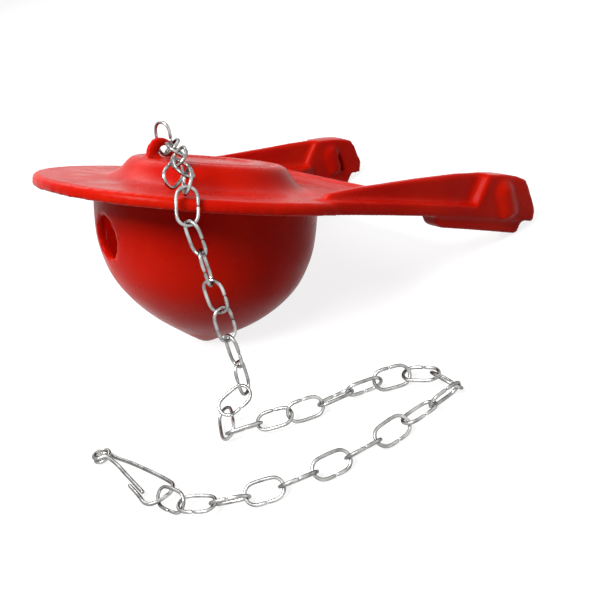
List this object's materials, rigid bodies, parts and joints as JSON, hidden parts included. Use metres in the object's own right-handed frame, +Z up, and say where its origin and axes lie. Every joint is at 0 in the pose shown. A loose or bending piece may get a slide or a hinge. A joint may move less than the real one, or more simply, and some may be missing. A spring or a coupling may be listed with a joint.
{
  "type": "toilet flapper",
  "caption": "Soft red rubber flush-valve flapper with a hollow bulb, a two-armed yoke with bossed ears, and a steel lift chain ending in a wire hook clip.",
  "frame": {"origin": "centre of the bounding box, at the height of the table the part lies on", "axes": "+X towards the yoke, +Z up, -Y towards the chain laid on the table"},
  "size_m": [0.122, 0.1128, 0.0544],
  "materials": {
    "rubber": "smooth, slightly glossy moulded rubber",
    "steel": "bright drawn wire"
  },
  "bodies": {
    "root": {"flapper_body": "rubber", "lug_link": "steel", "loose_link": "steel", "chain_link_01": "steel", "chain_link_02": "steel", "chain_link_03": "steel", "chain_link_04": "steel", "chain_link_05": "steel", "chain_link_06": "steel", "chain_link_07": "steel", "chain_link_08": "steel", "chain_link_09": "steel", "chain_link_10": "steel", "chain_link_11": "steel", "chain_link_12": "steel", "chain_link_13": "steel", "chain_link_14": "steel", "chain_link_15": "steel", "chain_link_16": "steel", "chain_link_17": "steel", "chain_link_18": "steel", "chain_link_19": "steel", "chain_link_20": "steel", "chain_link_21": "steel", "chain_link_22": "steel", "chain_link_23": "steel", "chain_link_24": "steel", "chain_link_25": "steel", "chain_link_26": "steel", "chain_link_27": "steel", "chain_link_28": "steel", "chain_link_29": "steel", "chain_link_30": "steel", "chain_link_31": "steel", "chain_link_32": "steel", "hook_clip": "steel"}
  },
  "joints": []
}
